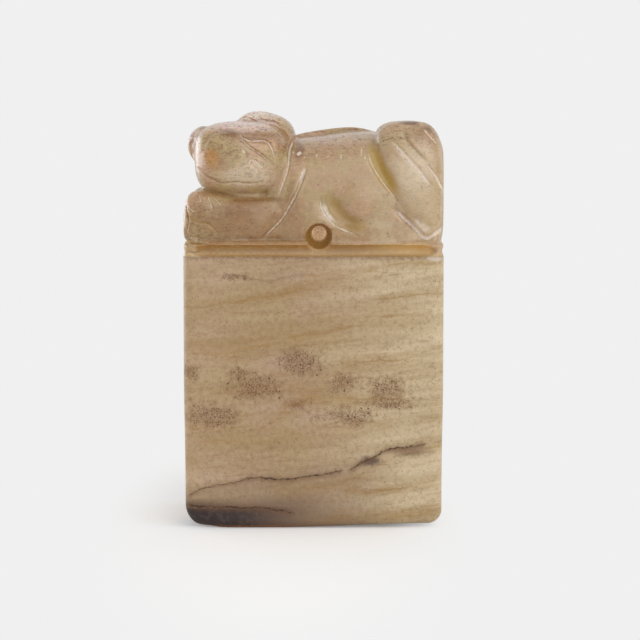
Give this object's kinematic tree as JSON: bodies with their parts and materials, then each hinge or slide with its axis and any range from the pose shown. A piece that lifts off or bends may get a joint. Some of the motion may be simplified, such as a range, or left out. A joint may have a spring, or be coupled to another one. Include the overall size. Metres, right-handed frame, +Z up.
{
  "type": "seal stamp",
  "caption": "Upright rectangular stone seal stamp with an engraved flat printing face, topped by a carved recumbent beast knob with a cord hole.",
  "frame": {"origin": "on the printing face, at the middle of the base", "axes": "+Z up from the printing face to the knob, +X along the beast towards its tail, -Y the side that the beast looks over"},
  "size_m": [0.04, 0.026, 0.0641],
  "materials": {
    "stone": "polished, waxy, slightly translucent"
  },
  "bodies": {
    "root": {"seal_block": "stone", "beast_knob": "stone"}
  },
  "joints": []
}
